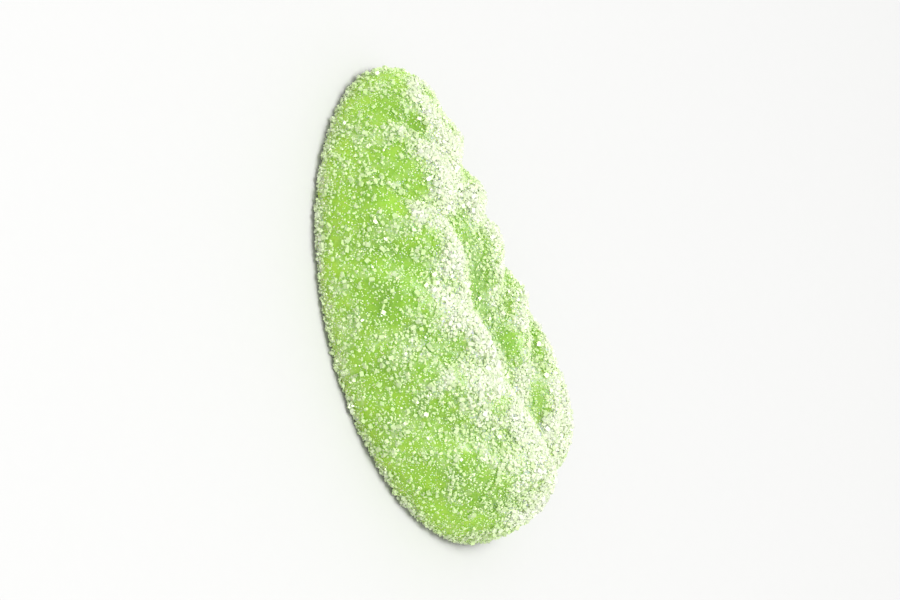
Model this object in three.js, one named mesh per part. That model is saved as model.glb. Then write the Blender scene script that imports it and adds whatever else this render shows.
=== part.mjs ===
// Spearmint leaf candy: one piece of moulded mint jelly, shaped like a bent leaf and rolled in sugar.
// Units are millimetres and +Z is up. The flat back of the leaf lies on the ground, its tip points
// along +Y and its bulging side faces -X. The origin is on the flat back, under the middle of the
// bounding box. The solid is the outside of the sugar coat.
//
// A ball whose poles are the leaf's two ends is drawn out to an egg, flattened underneath and bent
// along the leaf's spine. The mould's relief is pressed into its face: a midrib groove, and side veins
// with pillows of jelly between them.
import * as THREE from "three";

// Leaf, seen from above
const SPINE_LENGTH = 42.6; // along the bent middle line, from the broad end to the tip
const BODY_WIDTH = 20.0; // across the middle of the egg, before it is bent
const TAPER = 0.33; // share of the width that the tip loses and the broad end gains
const BLUNTNESS = 0.86; // 1 makes elliptic ends, less makes blunter ones
const BEND_RADIUS = 28; // of the middle line, with its centre on the +X side

// Leaf, seen from its side
const BODY_HEIGHT = 10.2; // of the smooth crown, before the relief
const TIP_DROP = 0.05; // share of the height that is lost at the tip
const BROAD_END_RISE = 0.6; // share of the height that the broad end gains, and so grows fuller
const DOME_FULLNESS = 2.5; // 2 makes a round dome, more makes a flatter crown over steeper flanks
const EDGE_HEIGHT = 0.9; // height of the widest line above the flat back
const EDGE_INSET = 0.45; // how far the rounded edge draws in down to the flat back

// Relief of the mould
const MIDRIB_DEPTH = 1.5;
const MIDRIB_WIDTH = 1.4; // from the groove's floor to its shoulder
const MIDRIB_START = 14; // along the spine, where the groove fades out towards the tip
const MIDRIB_FULL = -2; // along the spine, where it has its full depth
const VEIN_PITCH = 6.6; // from one side vein to the next
const VEIN_SLANT = 0.9; // how far a vein runs towards the tip for each millimetre outwards
const VEIN_SHIFT = 1.9; // of the veins on the bulging side, towards the tip
const VEIN_PHASE = 2.2; // of the veins on the hollow side, from the middle of the leaf
const VEIN_ROUNDNESS = 0.2; // 0 makes sharp grooves between the pillows, more makes soft ones
const PILLOW_HEIGHT = 1.5; // of a pillow above the vein beside it
const SUNK_SHARE = 0.45; // share of a pillow that lies below the smooth face
const END_FADE = 6; // length at either end over which the veins fade in
const RELIEF_START = 0.05; // level at which the relief starts, from 0 at the widest line to 1 at the crown
const RELIEF_FULL = 0.72; // level from which the relief has its full height
const SCALLOP_SHARE = 0.5; // share of the relief that also pushes the leaf's flanks in and out

// Unevenness of a poured piece
const LUMP_HEIGHT = 0.2;
const LUMP_LENGTH = 9;

// Mesh
const RINGS = 88; // from the tip to the broad end, each one slanting along the veins
const FACE_SPOKES = 40; // round a ring, over the face
const BACK_SPOKES = 14; // round a ring, over the flat back
const CROWDING = 0.5; // 0 spaces the spokes evenly, more crowds them at the midrib and at the edge below

const HALF_LENGTH = SPINE_LENGTH / 2;
const HALF_WIDTH = BODY_WIDTH / 2;
const SPOKES = FACE_SPOKES + BACK_SPOKES;
const { clamp, smoothstep } = THREE.MathUtils;

const signedPower = (value, power) => Math.sign(value) * Math.abs(value) ** power;

// Angle round a ring of the mesh, from 0 to PI over the face and from PI to 2 PI over the back.
function spokeAngle(spoke) {
  const onFace = spoke <= FACE_SPOKES;
  const angle = Math.PI * (onFace ? spoke / FACE_SPOKES : 1 + (spoke - FACE_SPOKES) / BACK_SPOKES);
  return angle + (onFace ? CROWDING : -CROWDING) * Math.sin(2 * angle) / 2;
}

// Direction from the ball's middle to a point of its mesh: x across the leaf, y to the tip and z up.
// A ring is pulled towards the tip on both sides of the midrib, as the veins are.
function ballDirection(ring, spoke) {
  const around = spokeAngle(spoke);
  const even = Math.PI * ring / RINGS;
  const pull = VEIN_SLANT * HALF_WIDTH / HALF_LENGTH * Math.abs(Math.cos(around)) * Math.sin(even);
  const fromTip = even - pull;
  const reach = Math.sin(fromTip);
  return new THREE.Vector3(-reach * Math.cos(around), Math.cos(fromTip), reach * Math.sin(around));
}

// Place on the straight leaf, across its spine and along it, for a direction seen from above and a
// share of the way from the middle to the outline.
function leafPlace(turn, share) {
  const along = HALF_LENGTH * signedPower(Math.cos(turn), BLUNTNESS);
  const across = HALF_WIDTH * Math.sin(turn) * (1 - TAPER * along / HALF_LENGTH);
  return new THREE.Vector2(across * share, along * share);
}

// Bends the straight leaf round a centre on the +X side.
function bend(place) {
  const radius = BEND_RADIUS - place.x;
  const angle = place.y / BEND_RADIUS;
  return new THREE.Vector2(BEND_RADIUS - radius * Math.cos(angle), radius * Math.sin(angle));
}

// Share of the full height that the leaf has at a place along its spine.
function heightShare(along) {
  const way = along / HALF_LENGTH;
  return 1 + (way > 0 ? -TIP_DROP : BROAD_END_RISE) * way * way;
}

// Height of the smooth face above the flat back.
function faceHeight(share) {
  const dome = Math.sqrt(1 - share ** DOME_FULLNESS);
  return EDGE_HEIGHT + (BODY_HEIGHT - EDGE_HEIGHT) * dome;
}

// Height of the rounded edge above the flat back, and 0 further in.
function backHeight(share) {
  const inset = clamp((1 - share) * HALF_WIDTH / EDGE_INSET, 0, 1);
  return EDGE_HEIGHT * (1 - Math.sqrt(1 - (1 - inset) ** 2));
}

// Height of the relief at a place: below 0 in the midrib and the veins, above 0 on the pillows.
function relief(place) {
  const { x: across, y: along } = place;
  const bulgingSide = across < 0;
  const outwards = Math.abs(across);
  const veinPlace = along - outwards * VEIN_SLANT - VEIN_PHASE - (bulgingSide ? VEIN_SHIFT : 0);
  const wave = Math.sin(Math.PI * veinPlace / VEIN_PITCH);
  const pillow = Math.hypot(wave, VEIN_ROUNDNESS) - VEIN_ROUNDNESS;
  const awayFromEnds = smoothstep(HALF_LENGTH - Math.abs(along), 0, END_FADE);
  const awayFromMidrib = smoothstep(outwards, 0, 2 * MIDRIB_WIDTH);
  const veins = (pillow - SUNK_SHARE) * PILLOW_HEIGHT * awayFromEnds * awayFromMidrib;
  const groove = Math.exp(-((across / MIDRIB_WIDTH) ** 2));
  const grooveShare = 1 - smoothstep(along, MIDRIB_FULL, MIDRIB_START);
  return veins - MIDRIB_DEPTH * groove * grooveShare;
}

// Slow unevenness of the jelly.
function lump(place) {
  const wave = 2 * Math.PI / LUMP_LENGTH;
  const first = Math.sin(wave * (place.y + 0.6 * place.x) + 0.8);
  const second = Math.sin(wave * (0.7 * place.y - 1.1 * place.x) + 2.1);
  return LUMP_HEIGHT * (first + second) / 2;
}

// Outward direction of the bent outline, seen from above.
function outlineNormal(turn) {
  const step = 1e-3;
  const ahead = bend(leafPlace(turn + step, 1));
  const behind = bend(leafPlace(turn - step, 1));
  const along = ahead.sub(behind).normalize();
  return new THREE.Vector2(-along.y, along.x);
}

// Point of the leaf's surface for a direction from the ball's middle.
function leafPoint(direction) {
  const share = Math.min(Math.hypot(direction.x, direction.y), 1);
  const turn = Math.atan2(direction.x, direction.y);
  const place = leafPlace(turn, share);
  const flat = bend(place);
  if (direction.z < 0) return new THREE.Vector3(flat.x, flat.y, backHeight(share) * heightShare(place.y));
  const level = smoothstep(direction.z, RELIEF_START, RELIEF_FULL);
  const rise = (relief(place) + lump(place)) * level;
  const lean = level * Math.PI / 2; // of the direction that the relief rises in, from level to upright
  const outwards = outlineNormal(turn).multiplyScalar(SCALLOP_SHARE * rise * Math.cos(lean));
  const height = faceHeight(share) * heightShare(place.y) + rise * Math.sin(lean);
  return new THREE.Vector3(flat.x + outwards.x, flat.y + outwards.y, height);
}

function leafGeometry() {
  const geometry = new THREE.SphereGeometry(1, SPOKES, RINGS);
  const position = geometry.getAttribute("position");
  for (let i = 0; i < position.count; i += 1) {
    const ring = Math.floor(i / (SPOKES + 1));
    const point = leafPoint(ballDirection(ring, i % (SPOKES + 1)));
    position.setXYZ(i, point.x, point.y, point.z);
  }
  geometry.computeBoundingBox();
  const middle = geometry.boundingBox.getCenter(new THREE.Vector3());
  geometry.translate(-middle.x, -middle.y, 0);
  return geometry;
}

const jelly = new THREE.MeshStandardMaterial({ color: 0x9bc95f, roughness: 0.55, metalness: 0 });
const leaf = new THREE.Mesh(leafGeometry(), jelly);
leaf.name = "sugared_leaf";

const candy = new THREE.Group();
candy.add(leaf);

export default candy;
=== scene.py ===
"""Spearmint leaf candy: one leaf of mint jelly rolled in sugar, alone on a pale studio floor.

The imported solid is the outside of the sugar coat. The jelly lies a little way under it, and the
grains stand in the jelly and reach up to the solid's faces.
"""

import logging
import math
from dataclasses import dataclass, field
from enum import Enum
from typing import Any

import bpy
import numpy as np
from mathutils import Matrix, Vector


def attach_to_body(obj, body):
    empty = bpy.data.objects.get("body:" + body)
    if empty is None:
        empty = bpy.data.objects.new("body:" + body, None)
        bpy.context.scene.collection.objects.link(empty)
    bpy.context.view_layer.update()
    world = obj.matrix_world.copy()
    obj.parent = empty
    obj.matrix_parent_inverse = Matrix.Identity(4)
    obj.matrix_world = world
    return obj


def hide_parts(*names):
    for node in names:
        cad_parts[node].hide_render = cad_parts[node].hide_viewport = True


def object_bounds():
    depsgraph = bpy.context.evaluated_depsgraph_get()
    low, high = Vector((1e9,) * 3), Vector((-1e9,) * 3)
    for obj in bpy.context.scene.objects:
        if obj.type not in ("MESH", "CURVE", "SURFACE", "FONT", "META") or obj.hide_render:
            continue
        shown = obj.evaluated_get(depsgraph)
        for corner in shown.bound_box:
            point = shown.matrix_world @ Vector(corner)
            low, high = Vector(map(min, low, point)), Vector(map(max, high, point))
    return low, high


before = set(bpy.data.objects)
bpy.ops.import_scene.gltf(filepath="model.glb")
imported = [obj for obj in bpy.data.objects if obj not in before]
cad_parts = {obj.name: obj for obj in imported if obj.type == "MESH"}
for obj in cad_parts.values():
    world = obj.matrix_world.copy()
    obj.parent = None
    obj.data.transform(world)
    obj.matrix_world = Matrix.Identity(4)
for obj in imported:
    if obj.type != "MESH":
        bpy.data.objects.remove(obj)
cad_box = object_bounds()

log = logging.getLogger("mint_leaf")

MM = 0.001
Colour = tuple[float, float, float]
Triple = tuple[float, float, float]  # along x, y and z
Span = tuple[float, float]  # a low and a high value

# What the pieces carry on their points, for the finishes and the scatter to read
COVER = "sugar_cover"
CREST = "crest"
GRAIN_TONE = "grain_tone"
GRAIN_NUMBER = "grain"

BAKE_MAP = "OFBake"  # the map on which each grain of a piece has a small square of its own


# -------------------------------------------------------------------------------------------- tools


def only(piece: bpy.types.Object) -> None:
    """Selects one object alone and makes it the active one.

    Args:
        piece: The object that the next operators act on.
    """
    bpy.ops.object.select_all(action="DESELECT")
    piece.select_set(True)
    bpy.context.view_layer.objects.active = piece


def finish_with(piece: bpy.types.Object, kind: str, **settings: Any) -> None:
    """Gives a piece a modifier and applies it at once.

    Args:
        piece: The object to shape.
        kind: Blender's type of modifier.
        **settings: The modifier's settings.
    """
    only(piece)
    modifier = piece.modifiers.new(kind.title(), kind)
    for name, value in settings.items():
        setattr(modifier, name, value)
    bpy.ops.object.modifier_apply(modifier=modifier.name)


def discard(piece: bpy.types.Object) -> None:
    """Removes an object and its mesh.

    Args:
        piece: The object, which was only needed while another was made.
    """
    mesh = piece.data
    bpy.data.objects.remove(piece)
    bpy.data.meshes.remove(mesh)


def triples(items: Any, name: str) -> np.ndarray:
    """Reads a vector from every item of a mesh.

    Args:
        items: The mesh's points or normals.
        name: What the vector is called on an item.

    Returns:
        One row of three numbers for each item.
    """
    flat = np.empty(3 * len(items), np.float32)
    items.foreach_get(name, flat)
    return flat.reshape(-1, 3)


class Term:
    """A value in a node tree. Python's operators on it add the tree's Math nodes."""

    def __init__(self, bench: "Bench", socket: bpy.types.NodeSocket) -> None:
        """Wraps an output socket of the bench's tree."""
        self.bench = bench
        self.socket = socket

    def math(self, operation: str, *others: "Term | float", clamp: bool = False) -> "Term":
        """Adds one Math node.

        Args:
            operation: The node's operation.
            *others: The further values, after this one.
            clamp: Whether the result is kept between 0 and 1.

        Returns:
            The node's result.
        """
        settings = {"operation": operation, "use_clamp": clamp}
        return self.bench.node("ShaderNodeMath", settings, dict(enumerate((self, *others))))

    def __add__(self, other: "Term | float") -> "Term":
        """Returns the sum."""
        return self.math("ADD", other)

    __radd__ = __add__

    def __sub__(self, other: "Term | float") -> "Term":
        """Returns the difference."""
        return self.math("SUBTRACT", other)

    def __rsub__(self, other: float) -> "Term":
        """Returns a number less this value."""
        return self.math("MULTIPLY", -1.0) + other

    def __mul__(self, other: "Term | float") -> "Term":
        """Returns the product."""
        return self.math("MULTIPLY", other)

    __rmul__ = __mul__

    def __pow__(self, power: float) -> "Term":
        """Returns this value raised to a power."""
        return self.math("POWER", power)

    def larger(self, other: "Term | float") -> "Term":
        """Returns the larger of this value and another."""
        return self.math("MAXIMUM", other)

    def clamped(self) -> "Term":
        """Returns this value kept between 0 and 1."""
        return self.math("ADD", 0.0, clamp=True)

    def between(self, low: float, high: float) -> "Term":
        """Returns low where this value is 0, high where it is 1, and a blend in between."""
        return low + self * (high - low)

    def rising(self, low: float, high: float, start: float = 0.0, end: float = 1.0) -> "Term":
        """Maps a range of this value smoothly onto another range.

        Args:
            low: The value where the rise starts.
            high: The value where it ends.
            start: The result up to low.
            end: The result from high on.

        Returns:
            The mapped value.
        """
        inputs = {"Value": self, "From Min": low, "From Max": high, "To Min": start, "To Max": end}
        return self.bench.node("ShaderNodeMapRange", {"interpolation_type": "SMOOTHSTEP"}, inputs)


class Bench:
    """A node tree that is being filled, of a material, of the room's light or of a recipe."""

    def __init__(self, tree: bpy.types.NodeTree) -> None:
        """Starts from an empty tree."""
        tree.nodes.clear()
        self.tree = tree

    def node(
        self,
        kind: str,
        settings: dict[str, Any] | None = None,
        inputs: dict[str | int, Any] | None = None,
        output: str | int = 0,
    ) -> Term:
        """Adds a node of any type.

        Args:
            kind: Blender's type of node.
            settings: The node's own settings, which are set first.
            inputs: A value, or the term to link, for each socket by name or number.
            output: The output socket to return, by name or number.

        Returns:
            The chosen output, or the chosen input of a node that has no output.
        """
        node = self.tree.nodes.new(kind)
        for name, value in (settings or {}).items():
            setattr(node, name, value)
        for name, value in (inputs or {}).items():
            socket = self.find(node.inputs, name)
            if isinstance(value, Term):
                self.tree.links.new(value.socket, socket)
            else:
                socket.default_value = value
        return Term(self, self.find(node.outputs or node.inputs, output))

    @staticmethod
    def find(sockets: Any, name: str | int) -> bpy.types.NodeSocket:
        """Returns a socket by its name, or by its number, among those that are in use."""
        used = [socket for socket in sockets if socket.enabled]
        return used[name] if isinstance(name, int) else next(s for s in used if s.name == name)

    def other(self, term: Term, output: str) -> Term:
        """Returns another output of the node that a term comes from."""
        return Term(self, self.find(term.socket.node.outputs, output))

    def surface_mark(self, name: str) -> Term:
        """Returns a value that a piece carries, for its finish."""
        return self.node("ShaderNodeAttribute", {"attribute_name": name}, output="Fac")

    def point_mark(self, name: str) -> Term:
        """Returns a value that a piece carries, for a recipe."""
        settings = {"data_type": "FLOAT"}
        return self.node("GeometryNodeInputNamedAttribute", settings, {"Name": name})

    def store(
        self, mesh: Term, name: str, value: Term, kind: str = "FLOAT", domain: str = "POINT"
    ) -> Term:
        """Stores a value on what a recipe works on.

        Args:
            mesh: The mesh or the grains.
            name: What the value is called.
            value: The value.
            kind: Blender's type of the value.
            domain: What each value belongs to, a point or a grain.

        Returns:
            The mesh or the grains with the value on them.
        """
        settings = {"data_type": kind, "domain": domain}
        inputs = {"Geometry": mesh, "Name": name, "Value": value}
        return self.node("GeometryNodeStoreNamedAttribute", settings, inputs)

    def upward(self, vector: Term) -> Term:
        """Returns a vector's upward part."""
        return self.node("ShaderNodeSeparateXYZ", {}, {"Vector": vector}, output="Z")

    def noise(self, place: Term, size: float, detail: float = 2.0, roughness: float = 0.5) -> Term:
        """Adds a cloudy noise.

        Args:
            place: The point that the noise is read at, in metres.
            size: The size of its clouds, in metres.
            detail: How many finer noises are laid over it.
            roughness: How strong the finer noises are.

        Returns:
            The noise, from about 0.2 to 0.8.
        """
        inputs = {"Vector": place, "Scale": 1 / size, "Detail": detail, "Roughness": roughness}
        return self.node("ShaderNodeTexNoise", {}, inputs)

    def blend(self, share: Term | float, first: Term | Colour, second: Term | Colour) -> Term:
        """Blends two colours.

        Args:
            share: The share of the second colour.
            first: The colour at share 0.
            second: The colour at share 1.

        Returns:
            The blended colour.
        """
        colours = [c if isinstance(c, Term) else (*c, 1.0) for c in (first, second)]
        inputs = {"Factor": share, "A": colours[0], "B": colours[1]}
        return self.node("ShaderNodeMix", {"data_type": "RGBA"}, inputs, output="Result")


def new_finish(name: str) -> tuple[bpy.types.Material, Bench]:
    """Makes an empty material.

    Args:
        name: The material's name.

    Returns:
        The material and the bench to fill it on.
    """
    material = bpy.data.materials.new(name)
    material.use_nodes = True
    return material, Bench(material.node_tree)


def new_recipe(name: str) -> tuple[bpy.types.NodeTree, Bench]:
    """Makes an empty recipe, which turns one mesh into another.

    Args:
        name: The recipe's name.

    Returns:
        The recipe and the bench to fill it on.
    """
    tree = bpy.data.node_groups.new(name, "GeometryNodeTree")
    for way in ("INPUT", "OUTPUT"):
        tree.interface.new_socket("Geometry", in_out=way, socket_type="NodeSocketGeometry")
    return tree, Bench(tree)


def follow(piece: bpy.types.Object, recipe: bpy.types.NodeTree) -> None:
    """Works a recipe into a piece and throws the recipe away.

    Args:
        piece: The piece that is changed.
        recipe: The recipe.
    """
    finish_with(piece, "NODES", node_group=recipe)
    bpy.data.node_groups.remove(recipe)


def wear(piece: bpy.types.Object, material: bpy.types.Material) -> None:
    """Makes a material the only one of a piece.

    Args:
        piece: The piece to dress.
        material: The material.
    """
    piece.data.materials.clear()
    piece.data.materials.append(material)


# ----------------------------------------------------------------------------------------- finishes


@dataclass(frozen=True)
class JellyFinish:
    """Cloudy green mint jelly with a dust of sugar on it, lime as a painted glow where it is thin
    and as painted light on the crests of its relief.
    """

    deep: Colour = (0.195, 0.415, 0.018)
    lime: Colour = (0.410, 0.725, 0.046)
    cloud_size: float = 6.0 * MM
    cloud_edges: Span = (0.38, 0.62)
    cloud_lime: float = 0.30  # share of lime that a cloud in the jelly adds
    painted_crest_light: float = 0.15  # share of lime that a crest of the relief adds, as painted light on the crests and painted shade in the hollows
    painted_thin_glow: float = 0.60  # share of lime that the thin jelly by the ground adds, as a painted glow of light shining through the thin jelly
    thin_heights: Span = (1.6 * MM, 6.4 * MM)  # above the ground, from thin jelly to thick

    dust: Colour = (0.930, 0.985, 0.780)
    dust_covers: Span = (0.12, 0.70)  # covers of sugar between which the dust thickens
    dust_shares: Span = (0.03, 0.90)  # share of dust at those covers
    haze_size: float = 0.60 * MM
    haze_edges: Span = (0.35, 0.62)
    haze_shares: Span = (0.3, 1.0)  # share of the dust between its clouds and in them

    crumb_pitch: float = 0.17 * MM
    crumb_radii: Span = (0.22, 0.42)  # of a crumb's top and foot, as shares of the pitch
    crumb_share: float = 0.25  # share of the places that hold a crumb where no sugar lies
    crumb_gain: float = 0.60  # further share where the sugar lies thickest
    crumb_blur: float = 0.02
    crumb_dust: float = 0.9
    crumb_rise: float = 1.2  # height of a crumb, as a share of the depth of the pits

    pit_size: float = 0.35 * MM
    pit_depth: float = 0.05 * MM
    pit_strength: float = 0.8
    wet_size: float = 1.5 * MM
    wet_edges: Span = (0.35, 0.65)
    roughness: Span = (0.30, 0.55)
    scatter_depth: float = 3.0 * MM
    scatter_shares: Colour = (0.80, 1.0, 0.30)
    ior: float = 1.45

    def make(self) -> bpy.types.Material:
        """Returns the material."""
        material, bench = new_finish("mint_jelly")
        place = bench.node("ShaderNodeTexCoord", output="Object")
        cover = bench.surface_mark(COVER)
        crumbs = self.crumbs(bench, place, cover)
        pits = bench.noise(place, self.pit_size, detail=3.0, roughness=0.6)
        relief = {
            "Strength": self.pit_strength,
            "Distance": self.pit_depth,
            "Height": pits + crumbs * self.crumb_rise,
        }
        dusty = self.dustiness(bench, place, cover).larger(self.crumb_dust * crumbs)
        inputs = {
            "Base Color": bench.blend(dusty, self.green(bench, place), self.dust),
            "Roughness": bench.noise(place, self.wet_size).rising(*self.wet_edges, *self.roughness),
            "Normal": bench.node("ShaderNodeBump", {}, relief),
            "IOR": self.ior,
            "Subsurface Weight": 1.0,
            "Subsurface Radius": self.scatter_shares,
            "Subsurface Scale": self.scatter_depth,
        }
        settings = {"subsurface_method": "RANDOM_WALK"}
        shader = bench.node("ShaderNodeBsdfPrincipled", settings, inputs)
        bench.node("ShaderNodeOutputMaterial", {}, {"Surface": shader})
        return material

    def green(self, bench: Bench, place: Term) -> Term:
        """Mixes the jelly's colour: its own clouds, painted light on the crests and a painted glow
        where it is thin.

        Args:
            bench: The bench of the material.
            place: The point on the piece.

        Returns:
            The colour, from deep green to lime.
        """
        clouds = bench.noise(place, self.cloud_size, detail=3.0).rising(*self.cloud_edges)
        crest = bench.surface_mark(CREST)
        thin = 1.0 - bench.upward(place).rising(*self.thin_heights)
        # painted light on the crests and a painted glow in the thin jelly by the ground
        lime = clouds * self.cloud_lime + crest * self.painted_crest_light + thin * self.painted_thin_glow
        return bench.blend(lime.clamped(), self.deep, self.lime)

    def dustiness(self, bench: Bench, place: Term, cover: Term) -> Term:
        """Spreads the finest dust of sugar.

        Args:
            bench: The bench of the material.
            place: The point on the piece.
            cover: How thickly the sugar lies there.

        Returns:
            The share of dust.
        """
        clouds = bench.noise(place, self.haze_size, detail=3.0, roughness=0.6)
        haze = clouds.rising(*self.haze_edges, *self.haze_shares)
        # the dust follows the cover, so it also carries the cover's painted light on the faces that
        # look up and to the right
        return cover.rising(*self.dust_covers, *self.dust_shares) * haze

    def crumbs(self, bench: Bench, place: Term, cover: Term) -> Term:
        """Strews crumbs that are too small to be pieces.

        Args:
            bench: The bench of the material.
            place: The point on the piece.
            cover: How thickly the sugar lies there.

        Returns:
            A mask, 1 on a crumb and 0 beside it.
        """
        cells = {"Vector": place, "Scale": 1 / self.crumb_pitch, "Randomness": 1.0}
        distance = bench.node("ShaderNodeTexVoronoi", {}, cells)
        colour = {"Color": bench.other(distance, "Color")}
        lot = bench.node("ShaderNodeSeparateColor", {}, colour)
        # the crumbs follow the cover too, and with it its painted light
        surplus = lot - self.crumb_share - self.crumb_gain * cover
        fallen = surplus.rising(-self.crumb_blur, self.crumb_blur, 1.0, 0.0)
        return (1.0 - distance.rising(*self.crumb_radii)) * fallen


@dataclass(frozen=True)
class SugarFinish:
    """Clear to frosted sugar, each grain with the whiteness and share of the jelly's green that it
    carries, partly at random and partly as painted light.
    """

    name: str
    clearness: float
    clear: Colour = (0.74, 0.94, 0.42)
    frosted: Colour = (0.97, 1.00, 0.88)
    roughness: Span = (0.10, 0.45)
    ior: float = 1.55

    def make(self) -> bpy.types.Material:
        """Returns the material."""
        material, bench = new_finish(self.name)
        tone = bench.surface_mark(GRAIN_TONE)
        inputs = {
            "Base Color": bench.blend(tone, self.clear, self.frosted),
            "Roughness": tone.rising(0.0, 1.0, *self.roughness),
            "IOR": self.ior,
            "Transmission Weight": self.clearness,
        }
        shader = bench.node("ShaderNodeBsdfPrincipled", {}, inputs)
        bench.node("ShaderNodeOutputMaterial", {}, {"Surface": shader})
        return material


@dataclass(frozen=True)
class FloorFinish:
    """Matt white studio paper."""

    colour: Colour = (0.54, 0.54, 0.535)
    fibre_shade: float = 0.985
    fibre_size: float = 1.2 * MM
    roughness: float = 0.7

    def make(self) -> bpy.types.Material:
        """Returns the material."""
        material, bench = new_finish("white_paper")
        place = bench.node("ShaderNodeTexCoord", output="Object")
        fibres = bench.noise(place, self.fibre_size, detail=4.0)
        shade = tuple(self.fibre_shade * c for c in self.colour)
        colour = bench.blend(fibres, shade, self.colour)
        inputs = {"Base Color": colour, "Roughness": self.roughness}
        shader = bench.node("ShaderNodeBsdfPrincipled", {}, inputs)
        bench.node("ShaderNodeOutputMaterial", {}, {"Surface": shader})
        return material


# -------------------------------------------------------------------------------------------- cover


@dataclass(frozen=True)
class SugarCover:
    """How thickly the sugar lies at each place of the leaf, from 0 to 1."""

    light_and_sugar_facing: Triple = (0.27, -0.20, 0.94)  # the sugar is thickest and whitest on faces that look this way, up and to the right of the view: partly sugar that settled on top, partly painted light from that side
    light_and_sugar_facing_shares: Span = (0.34, 0.95)  # how fully a face looks that way, from thin sugar to thick
    thin: float = 0.26  # share of the sugar on the faces that look elsewhere: thinner sugar that also stands as painted shade on those faces
    patch_size: float = 5.5 * MM
    patch_edges: Span = (0.42, 0.57)
    patch_shares: Span = (0.68, 1.40)  # share of the sugar between the patches and on them
    clump_size: float = 2.0 * MM
    clump_edges: Span = (0.41, 0.59)
    clump_shares: Span = (0.48, 1.06)  # share between the clumps and on them
    hollow_shade_shares: Span = (0.58, 1.08)  # share in a hollow of the relief and on a crest; the thinner sugar in the hollows is painted shade
    rim: float = 0.50  # cover along the edge, where the leaf was rolled in the sugar
    rim_heights: Span = (0.7 * MM, 1.9 * MM)  # above the ground, where the rim's sugar fades out
    rim_clump: float = 0.55  # share of the rim's sugar between its clumps
    back: float = 0.4  # cover underneath
    back_tilts: Span = (-0.9, -0.4)  # upward part of a face's direction, from the back to the edge

    def mark(self, piece: bpy.types.Object) -> None:
        """Stores the cover on a piece's points.

        Args:
            piece: The jelly, with its crests marked.
        """
        recipe, bench = new_recipe("sugar_cover")
        covered = bench.store(bench.node("NodeGroupInput"), COVER, self.thickness(bench))
        bench.node("NodeGroupOutput", {}, {"Geometry": covered})
        follow(piece, recipe)

    def thickness(self, bench: Bench) -> Term:
        """Lays the sugar: patchy on the face, even along the rim and thin underneath.

        Args:
            bench: The bench of the recipe.

        Returns:
            The cover.
        """
        place = bench.node("GeometryNodeInputPosition")
        normal = bench.node("GeometryNodeInputNormal")
        crest = bench.point_mark(CREST)
        directions = {0: normal, 1: self.light_and_sugar_facing}
        settings = {"operation": "DOT_PRODUCT"}
        light_and_sugar_facing = bench.node("ShaderNodeVectorMath", settings, directions, "Value")
        patches = bench.noise(place, self.patch_size, detail=3.0)
        clumps = bench.noise(place, self.clump_size, detail=4.0, roughness=0.7)
        clumps = clumps.rising(*self.clump_edges)
        # The sugar on the face is thicker and whiter towards the upper right of the view and
        # thinner elsewhere: partly settled sugar, partly painted light and shade.
        on_face = (
            light_and_sugar_facing.rising(*self.light_and_sugar_facing_shares, self.thin, 1.0)
            * patches.rising(*self.patch_edges, *self.patch_shares)
            * clumps.between(*self.clump_shares)
            # less sugar in the hollows of the relief than on its crests: painted shade in the
            # hollows
            * crest.between(*self.hollow_shade_shares)
        )
        rim = bench.upward(place).rising(*self.rim_heights, self.rim, 0.0)
        back = 1.0 - bench.upward(normal).rising(*self.back_tilts)
        on_rim = rim * clumps.between(self.rim_clump, 1.0)
        return on_face.larger(on_rim).larger(back * self.back).clamped()


# -------------------------------------------------------------------------------------------- jelly


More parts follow.
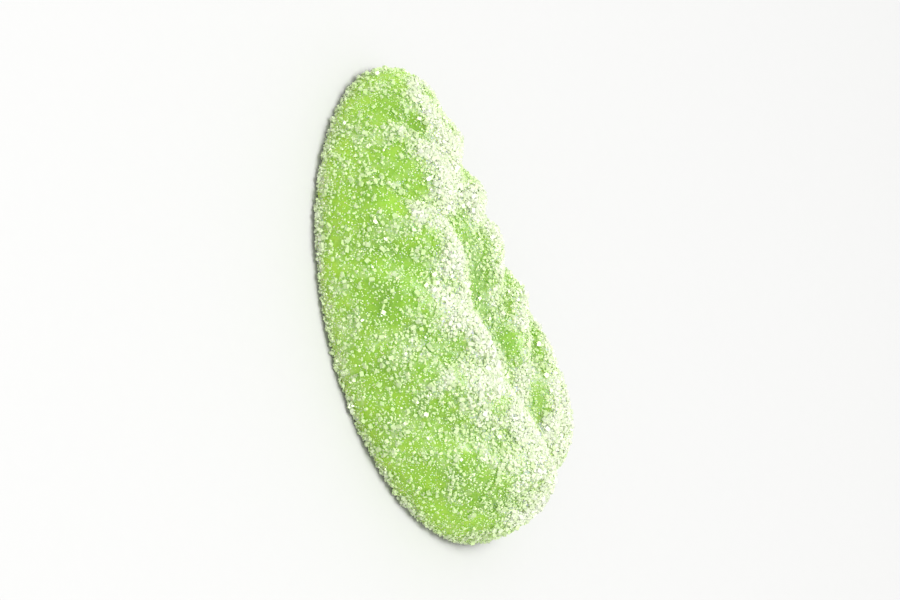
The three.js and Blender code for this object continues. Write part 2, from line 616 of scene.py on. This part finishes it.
@dataclass
class JellyBody:
    """The moulded leaf of jelly under the sugar."""

    sugar_depth: float = 0.30 * MM  # from the solid's faces down to the jelly
    ground_gap: float = 0.12 * MM  # from the ground up to the jelly's back
    weld: float = 0.001 * MM
    voxel: float = 0.33 * MM
    smooth_step: float = 0.5
    smooth_rounds: int = 4
    crest_rounds: int = 110  # rounds of smoothing that take the relief away
    crest_heights: Span = (-0.12 * MM, 0.18 * MM)  # over the smoothed leaf, of hollow and crest
    dent_size: float = 1.6 * MM
    dent_depth: float = 0.22 * MM
    grit_size: float = 0.45 * MM
    grit_depth: float = 0.08 * MM
    cover: SugarCover = field(default_factory=SugarCover)
    finish: JellyFinish = field(default_factory=JellyFinish)

    def build(self) -> bpy.types.Object:
        """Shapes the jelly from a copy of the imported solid.

        Returns:
            The finished piece, with its material.
        """
        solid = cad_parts["sugared_leaf"]
        piece = bpy.data.objects.new("jelly_leaf", solid.data.copy())
        bpy.context.collection.objects.link(piece)
        self.draw_in(piece)
        finish_with(piece, "REMESH", mode="VOXEL", voxel_size=self.voxel)
        finish_with(piece, "SMOOTH", factor=self.smooth_step, iterations=self.smooth_rounds)
        self.mark_crests(piece)
        finish_with(piece, "SUBSURF", levels=1, render_levels=1)
        self.roughen(piece, "dents", self.dent_size, self.dent_depth)
        self.roughen(piece, "grit", self.grit_size, self.grit_depth)
        self.cover.mark(piece)
        only(piece)
        bpy.ops.object.shade_smooth()
        wear(piece, self.finish.make())
        return piece

    def draw_in(self, piece: bpy.types.Object) -> None:
        """Draws the faces in by the depth of the sugar, but leaves the back close to the ground.

        Args:
            piece: The copy of the solid.
        """
        only(piece)
        bpy.ops.object.mode_set(mode="EDIT")
        bpy.ops.mesh.select_all(action="SELECT")
        bpy.ops.mesh.remove_doubles(threshold=self.weld)
        bpy.ops.transform.shrink_fatten(value=-self.sugar_depth)
        top = cad_box[1][2] - self.sugar_depth
        stretch = (top - self.ground_gap) / (top - self.sugar_depth)
        bpy.ops.transform.resize(value=(1, 1, stretch), center_override=(0, 0, top))
        bpy.ops.object.mode_set(mode="OBJECT")

    def mark_crests(self, piece: bpy.types.Object) -> None:
        """Marks each point, from 0 in a hollow of the relief to 1 on a crest.

        Args:
            piece: The jelly, before its dents and grit.
        """
        smooth = piece.copy()
        smooth.data = piece.data.copy()
        bpy.context.collection.objects.link(smooth)
        finish_with(smooth, "SMOOTH", factor=self.smooth_step, iterations=self.crest_rounds)
        rise = triples(piece.data.vertices, "co") - triples(smooth.data.vertices, "co")
        height = (rise * triples(smooth.data.vertex_normals, "vector")).sum(1)
        low, high = self.crest_heights
        crest = np.clip((height - low) / (high - low), 0, 1)
        layer = piece.data.attributes.new(CREST, "FLOAT", "POINT")
        layer.data.foreach_set("value", crest.astype(np.float32))
        discard(smooth)

    def roughen(self, piece: bpy.types.Object, name: str, size: float, depth: float) -> None:
        """Presses a cloudy relief into the piece.

        Args:
            piece: The piece to shape.
            name: What the relief is called.
            size: The size of its bumps.
            depth: The height from its hollows to its bumps.
        """
        clouds = bpy.data.textures.new(name, "CLOUDS")
        clouds.noise_scale = size
        clouds.noise_depth = 2
        lift = {"strength": depth, "mid_level": 0.5}
        finish_with(piece, "DISPLACE", texture=clouds, texture_coords="LOCAL", **lift)
        bpy.data.textures.remove(clouds)


# -------------------------------------------------------------------------------------------- sugar


class Habit(Enum):
    """The form of a grain of sugar."""

    BLOCK = "whole crystal with worn corners"
    PRISM = "long crystal with a slanted end"
    SHARD = "broken crystal"
    CUBELET = "small crystal"
    SPECK = "crumb of a crystal"


@dataclass(frozen=True)
class GrainSort:
    """One sort of grain and how it lies on the jelly."""

    name: str
    habit: Habit
    size: Span  # of the smallest grain and the largest, from corner to corner
    per_mm2: float  # grains on a square millimetre where the sugar lies thickest
    spacing: float  # least distance between two grains
    sunk: float  # share of a grain that is stuck in the jelly
    lean: float  # most that a grain leans over, in radians
    gathering: float  # above 1 keeps the grains to the thick places, below 1 spreads them out
    seed: int  # first of the five seeds that this sort draws with
    finish: SugarFinish


@dataclass
class CrystalCutter:
    """Cuts one crystal of each form and variant, 1 m from corner to corner, to be scaled down."""

    variants: int = 3
    seed_step: int = 100  # from the first seed of one form to that of the next
    weld: float = 1e-5

    def cut(self, habit: Habit, variant: int) -> bpy.types.Object:
        """Cuts a crystal.

        Args:
            habit: The form to cut.
            variant: Which of its variants.

        Returns:
            The crystal, centred on the origin.
        """
        bpy.ops.object.select_all(action="DESELECT")
        draw = np.random.default_rng(self.seed_step * list(Habit).index(habit) + variant)
        shape = {
            Habit.BLOCK: self.block,
            Habit.PRISM: self.prism,
            Habit.SHARD: self.shard,
            Habit.CUBELET: self.cubelet,
            Habit.SPECK: self.speck,
        }[habit]
        shape(draw)
        bpy.ops.mesh.select_all(action="SELECT")
        bpy.ops.mesh.normals_make_consistent(inside=False)
        bpy.ops.object.mode_set(mode="OBJECT")
        crystal = bpy.context.active_object
        crystal.name = f"{habit.name.lower()}_{variant}"
        points = np.array([v.co for v in crystal.data.vertices])
        middle = (points.min(0) + points.max(0)) / 2
        reach = np.linalg.norm(points - middle, axis=1).max()
        crystal.data.transform(Matrix.Scale(0.5 / reach, 4) @ Matrix.Translation(-Vector(middle)))
        return crystal

    def block(self, draw: np.random.Generator) -> None:
        """Shapes a stout crystal whose eight corners are worn off.

        Args:
            draw: The source of its random sizes.
        """
        self.cube((1.0, draw.uniform(0.72, 0.9), draw.uniform(0.6, 0.8)))
        bpy.ops.mesh.bevel(offset=draw.uniform(0.10, 0.17), segments=1, affect="VERTICES")

    def prism(self, draw: np.random.Generator) -> None:
        """Shapes a long crystal with a slanted end and one broken corner.

        Args:
            draw: The source of its random sizes.
        """
        self.cube((1.0, draw.uniform(0.55, 0.72), draw.uniform(0.48, 0.62)))
        self.take_off(Vector((1.0, draw.uniform(-0.5, 0.5), draw.uniform(0.2, 0.6))), 0.40)
        self.take_off(Vector((-1.0, draw.uniform(0.5, 1.0), -0.7)), 0.47)

    def shard(self, draw: np.random.Generator) -> None:
        """Shapes a broken crystal: a slab with two steep breaks.

        Args:
            draw: The source of its random sizes.
        """
        self.cube((1.0, draw.uniform(0.65, 0.9), draw.uniform(0.35, 0.55)))
        self.take_off(Vector((0.7, 1.0, draw.uniform(-0.6, 0.2))), draw.uniform(0.22, 0.32))
        self.take_off(Vector((-1.0, -0.3, draw.uniform(0.1, 0.9))), draw.uniform(0.26, 0.36))

    def cubelet(self, draw: np.random.Generator) -> None:
        """Shapes a small crystal that narrows to its top.

        Args:
            draw: The source of its random sizes.
        """
        self.cube((1.0, draw.uniform(0.7, 0.95), draw.uniform(0.6, 0.85)))
        self.pick_faces(Vector((0, 0, 1)))
        narrow = draw.uniform(0.62, 0.85)
        bpy.ops.transform.resize(value=(narrow, draw.uniform(0.7, 1.0), 1.0))
        shift = (draw.uniform(-0.1, 0.1), draw.uniform(-0.1, 0.1), 0)
        bpy.ops.transform.translate(value=shift)

    def speck(self, draw: np.random.Generator) -> None:
        """Shapes a crumb with eight faces.

        Args:
            draw: The source of its random sizes.
        """
        bpy.ops.mesh.primitive_cone_add(vertices=4, radius1=0.5, depth=draw.uniform(0.4, 0.55))
        bpy.ops.object.mode_set(mode="EDIT")
        self.pick_faces(Vector((0, 0, -1)))
        bpy.ops.mesh.poke(offset=draw.uniform(0.3, 0.4))

    @staticmethod
    def cube(size: Triple) -> None:
        """Adds a cube and leaves it in edit mode, with all of it selected.

        Args:
            size: Its length, width and height.
        """
        bpy.ops.mesh.primitive_cube_add(size=1)
        bpy.ops.object.mode_set(mode="EDIT")
        bpy.ops.mesh.select_all(action="SELECT")
        bpy.ops.transform.resize(value=size)

    def take_off(self, normal: Vector, depth: float) -> None:
        """Cuts off what lies past a plane and closes the cut.

        Args:
            normal: The direction that the plane faces.
            depth: How far it lies from the origin.
        """
        plane = {"plane_co": normal.normalized() * depth, "plane_no": normal}
        bpy.ops.mesh.select_all(action="SELECT")
        bpy.ops.mesh.bisect(**plane, use_fill=True, clear_outer=True, threshold=self.weld)

    @staticmethod
    def pick_faces(normal: Vector, likeness: float = 0.95) -> None:
        """Selects the faces that look along a direction, and nothing else.

        Args:
            normal: The direction.
            likeness: The least cosine between the direction and a picked face's own.
        """
        bpy.ops.mesh.select_all(action="DESELECT")
        bpy.ops.object.mode_set(mode="OBJECT")
        for face in bpy.context.active_object.data.polygons:
            face.select = face.normal.dot(normal) > likeness
        bpy.ops.object.mode_set(mode="EDIT")


@dataclass
class SugarCoat:
    """The grains of sugar that stick to the jelly, one piece for each sort."""

    sorts: tuple[GrainSort, ...]
    cutter: CrystalCutter = field(default_factory=CrystalCutter)
    whiteness: Span = (0.45, 1.0)  # of the greenest grain and the whitest
    tone_covers: Span = (0.15, 0.70)  # covers between which the grains turn whiter
    thin_tone: float = 0.18  # share of its whiteness that a grain has where the sugar is thin; since the cover is thicker towards the upper right, this paints light on the grains there and shade on the others
    map_reach: float = 0.35  # share of its square on the map that half of the widest grain fills

    def build(self, jelly: bpy.types.Object) -> list[bpy.types.Object]:
        """Strews every sort of grain over the jelly.

        Args:
            jelly: The finished jelly.

        Returns:
            One piece for each sort.
        """
        return [self.strew(sort, jelly) for sort in self.sorts]

    def strew(self, sort: GrainSort, jelly: bpy.types.Object) -> bpy.types.Object:
        """Strews one sort of grain.

        Args:
            sort: The sort of grain.
            jelly: The piece that the grains stick to.

        Returns:
            The piece, with its material and its map.
        """
        crystals = [self.cutter.cut(sort.habit, v) for v in range(self.cutter.variants)]
        tray = bpy.data.collections.new(f"{sort.name}_crystals")
        for crystal in crystals:
            tray.objects.link(crystal)
        piece = bpy.data.objects.new(sort.name, jelly.data.copy())
        bpy.context.collection.objects.link(piece)
        follow(piece, self.scatter(sort, tray))
        for crystal in crystals:
            discard(crystal)
        bpy.data.collections.remove(tray)
        wear(piece, sort.finish.make())
        only(piece)
        bpy.ops.object.shade_flat()
        self.lay_out(piece)
        return piece

    def scatter(self, sort: GrainSort, tray: bpy.types.Collection) -> bpy.types.NodeTree:
        """Writes the recipe that strews a sort of grain.

        Args:
            sort: The sort of grain.
            tray: The collection that holds its crystals.

        Returns:
            The recipe, which turns the jelly's mesh into the grains alone.
        """
        recipe, bench = new_recipe(sort.name)
        cover = bench.point_mark(COVER)
        spread = {
            "Mesh": bench.node("NodeGroupInput"),
            "Distance Min": sort.spacing,
            "Density Max": sort.per_mm2 / MM**2,
            "Density Factor": cover**sort.gathering,
            "Seed": sort.seed,
        }
        settings = {"distribute_method": "POISSON"}
        points = bench.node("GeometryNodeDistributePointsOnFaces", settings, spread)
        size = self.random(bench, sort.size, sort.seed + 1)
        lift = self.scaled(bench, bench.other(points, "Normal"), size * (0.5 - sort.sunk))
        lifted = bench.node("GeometryNodeSetPosition", {}, {"Geometry": points, "Offset": lift})
        crystals = {"Collection": tray, "Separate Children": True, "Reset Children": True}
        choice = {"Min": 0, "Max": self.cutter.variants - 1, "Seed": sort.seed + 3}
        standing = {
            "Points": self.raised(bench, lifted, size * 0.5),
            "Instance": bench.node("GeometryNodeCollectionInfo", {}, crystals),
            "Pick Instance": True,
            "Instance Index": bench.node("FunctionNodeRandomValue", {"data_type": "INT"}, choice),
            "Rotation": self.leaning(bench, sort, bench.other(points, "Rotation")),
            "Scale": self.scaled(bench, (1.0, 1.0, 1.0), size),
        }
        grains = bench.node("GeometryNodeInstanceOnPoints", {}, standing)
        # the grains are whiter where the sugar lies thick, which carries the cover's painted light
        # and shade onto them
        share = cover.rising(*self.tone_covers, self.thin_tone, 1.0)
        tone = self.random(bench, self.whiteness, sort.seed + 4) * share
        toned = bench.store(grains, GRAIN_TONE, tone, domain="INSTANCE")
        number = bench.node("GeometryNodeInputIndex")
        numbered = bench.store(toned, GRAIN_NUMBER, number, kind="INT", domain="INSTANCE")
        real = bench.node("GeometryNodeRealizeInstances", {}, {"Geometry": numbered})
        bench.node("NodeGroupOutput", {}, {"Geometry": real})
        return recipe

    @staticmethod
    def random(bench: Bench, limits: Span, seed: int) -> Term:
        """Returns a random number for each grain."""
        inputs = {"Min": limits[0], "Max": limits[1], "Seed": seed}
        return bench.node("FunctionNodeRandomValue", {"data_type": "FLOAT"}, inputs)

    @staticmethod
    def scaled(bench: Bench, vector: Term | Triple, scale: Term) -> Term:
        """Returns a vector times a number."""
        inputs = {0: vector, "Scale": scale}
        return bench.node("ShaderNodeVectorMath", {"operation": "SCALE"}, inputs)

    @staticmethod
    def raised(bench: Bench, points: Term, floor: Term) -> Term:
        """Lifts the grains that would reach into the ground.

        Args:
            bench: The bench of the recipe.
            points: The middles of the grains.
            floor: The least height of each.

        Returns:
            The points, none of them lower than that.
        """
        place = bench.node("GeometryNodeInputPosition")
        height = bench.upward(place)
        inputs = {
            "X": bench.other(height, "X"),
            "Y": bench.other(height, "Y"),
            "Z": height.larger(floor),
        }
        target = bench.node("ShaderNodeCombineXYZ", {}, inputs)
        return bench.node("GeometryNodeSetPosition", {}, {"Geometry": points, "Position": target})

    @staticmethod
    def leaning(bench: Bench, sort: GrainSort, upright: Term) -> Term:
        """Spins the grains round and leans them over at random.

        Args:
            bench: The bench of the recipe.
            sort: The sort of grain.
            upright: The turn of a grain that stands straight up from the jelly.

        Returns:
            The turn of each grain.
        """
        most = (sort.lean, sort.lean, math.pi)
        inputs = {"Min": tuple(-angle for angle in most), "Max": most, "Seed": sort.seed + 2}
        angles = bench.node("FunctionNodeRandomValue", {"data_type": "FLOAT_VECTOR"}, inputs)
        turn = bench.node("FunctionNodeEulerToRotation", {}, {"Euler": angles})
        turns = {"Rotation": upright, "Rotate By": turn}
        return bench.node("FunctionNodeRotateRotation", {"rotation_space": "LOCAL"}, turns)

    def lay_out(self, piece: bpy.types.Object) -> None:
        """Gives the piece a map on which each grain has a small square of its own.

        Args:
            piece: The grains, numbered by the scatter. The numbers are removed again.
        """
        mesh = piece.data
        owner = np.empty(len(mesh.vertices), np.int32)
        mesh.attributes[GRAIN_NUMBER].data.foreach_get("value", owner)
        mesh.attributes.remove(mesh.attributes[GRAIN_NUMBER])
        place = triples(mesh.vertices, "co")
        count = int(owner.max()) + 1
        members = np.maximum(np.bincount(owner, minlength=count), 1)
        middle = np.stack([np.bincount(owner, p, count) / members for p in place.T], 1)
        offset = place - middle[owner]
        across = math.ceil(math.sqrt(count))
        cell = np.stack([owner % across, owner // across], 1)
        reach = np.abs(offset).max()
        spot = (cell + 0.5 + self.map_reach * offset[:, :2] / reach) / across
        corner = np.empty(len(mesh.loops), np.int32)
        mesh.loops.foreach_get("vertex_index", corner)
        layer = mesh.uv_layers.new(name=BAKE_MAP)
        layer.uv.foreach_set("vector", spot[corner].astype(np.float32).ravel())


# ------------------------------------------------------------------------------------------- studio


@dataclass
class Studio:
    """The pale floor, the soft light and the camera."""

    tilt: float = math.radians(53.1)  # of the camera, from overhead to the bulging side
    roll: float = math.radians(15.6)  # which leans the leaf's tip to the left
    pitch: float = math.radians(-0.8)  # from overhead to the broad end
    lens: float = 200.0
    view_width: float = 75.63 * MM  # across the view, at the leaf
    clip: Span = (0.01, 10.0)  # nearest and farthest distance that the camera sees
    floor_side: float = 3.0
    sky: float = 0.84
    key_power: float = 3.7
    key_size: float = 0.35
    key_distance: float = 0.60
    key_side: Triple = (-0.12, 0.02, 0.95)  # where the key light hangs, seen from the leaf
    floor: FloorFinish = field(default_factory=FloorFinish)

    def build(self) -> None:
        """Sets up the whole studio."""
        self.lay_floor()
        self.light_room()
        self.hang_key()
        self.place_camera()
        bpy.context.scene.view_settings.view_transform = "Standard"

    def lay_floor(self) -> None:
        """Lays the paper on the ground."""
        bpy.ops.object.select_all(action="DESELECT")
        bpy.ops.mesh.primitive_plane_add(size=self.floor_side)
        floor = bpy.context.active_object
        floor.name = "floor"
        wear(floor, self.floor.make())

    def light_room(self) -> None:
        """Fills the room with even light."""
        world = bpy.data.worlds.new("room")
        world.use_nodes = True
        bench = Bench(world.node_tree)
        sky = bench.node("ShaderNodeBackground", {}, {"Color": (1, 1, 1, 1), "Strength": self.sky})
        bench.node("ShaderNodeOutputWorld", {}, {"Surface": sky})
        bpy.context.scene.world = world

    def hang_key(self) -> None:
        """Hangs a soft box almost overhead, a little towards the bulging side."""
        towards = Vector(self.key_side).normalized()
        light = bpy.data.lights.new("key", "AREA")
        light.shape = "DISK"
        light.size = self.key_size
        light.energy = self.key_power
        lamp = bpy.data.objects.new("key", light)
        lamp.location = towards * self.key_distance
        lamp.rotation_euler = towards.to_track_quat("Z", "Y").to_euler()
        bpy.context.collection.objects.link(lamp)

    def place_camera(self) -> None:
        """Looks down on the bulging side, with the tip upwards and leaning left."""
        right = Vector((math.cos(self.tilt), 0, math.sin(self.tilt)))
        up = Vector((0, 1, 0))
        back = Vector((-math.sin(self.tilt), 0, math.cos(self.tilt)))
        up, back = self.turned(up, back, self.pitch)
        right, up = self.turned(right, up, -self.roll)
        data = bpy.data.cameras.new("camera")
        data.lens = self.lens
        data.clip_start, data.clip_end = self.clip
        distance = self.view_width * data.lens / data.sensor_width
        low, high = cad_box
        middle = (low + high) / 2
        camera = bpy.data.objects.new("camera", data)
        axes = Matrix((right, up, back)).transposed().to_4x4()
        camera.matrix_world = Matrix.Translation(middle + back * distance) @ axes
        bpy.context.collection.objects.link(camera)
        bpy.context.scene.camera = camera

    @staticmethod
    def turned(first: Vector, second: Vector, angle: float) -> tuple[Vector, Vector]:
        """Turns two upright directions in their plane.

        Args:
            first: The direction that turns towards the second.
            second: The direction at right angles to it.
            angle: How far they turn.

        Returns:
            The two directions after the turn.
        """
        cosine, sine = math.cos(angle), math.sin(angle)
        return first * cosine + second * sine, second * cosine - first * sine


# --------------------------------------------------------------------------------------------- main

SORTS = (
    GrainSort(
        name="sugar_blocks",
        habit=Habit.BLOCK,
        size=(0.42 * MM, 0.60 * MM),
        per_mm2=5.0,
        spacing=0.33 * MM,
        sunk=0.22,
        lean=0.6,
        gathering=1.5,
        seed=11,
        finish=SugarFinish("block_sugar", clearness=0.40),
    ),
    GrainSort(
        name="sugar_prisms",
        habit=Habit.PRISM,
        size=(0.34 * MM, 0.50 * MM),
        per_mm2=13.0,
        spacing=0.20 * MM,
        sunk=0.20,
        lean=0.8,
        gathering=1.5,
        seed=23,
        finish=SugarFinish("prism_sugar", clearness=0.36),
    ),
    GrainSort(
        name="sugar_shards",
        habit=Habit.SHARD,
        size=(0.26 * MM, 0.42 * MM),
        per_mm2=21.8,
        spacing=0.15 * MM,
        sunk=0.20,
        lean=1.0,
        gathering=1.4,
        seed=37,
        finish=SugarFinish("shard_sugar", clearness=0.32),
    ),
    GrainSort(
        name="sugar_cubelets",
        habit=Habit.CUBELET,
        size=(0.18 * MM, 0.28 * MM),
        per_mm2=26.5,
        spacing=0.11 * MM,
        sunk=0.20,
        lean=1.2,
        gathering=1.1,
        seed=41,
        finish=SugarFinish("small_sugar", clearness=0.24),
    ),
    GrainSort(
        name="sugar_specks",
        habit=Habit.SPECK,
        size=(0.09 * MM, 0.17 * MM),
        per_mm2=23.0,
        spacing=0.07 * MM,
        sunk=0.15,
        lean=1.5,
        gathering=0.65,
        seed=59,
        finish=SugarFinish("speck_sugar", clearness=0.16),
    ),
)


def attach(piece: bpy.types.Object) -> None:
    """Makes a piece part of the candy and reports it.

    Args:
        piece: The finished piece.
    """
    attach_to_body(piece, "root")
    piece.data.calc_loop_triangles()
    log.info("%s: %d triangles", piece.name, len(piece.data.loop_triangles))


def main() -> None:
    """Builds the candy and the studio round it."""
    logging.basicConfig(level=logging.INFO, format="%(name)s: %(message)s")
    jelly = JellyBody().build()
    attach(jelly)
    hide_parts("sugared_leaf")
    for piece in SugarCoat(SORTS).build(jelly):
        attach(piece)
    Studio().build()


if __name__ == "__main__":
    main()
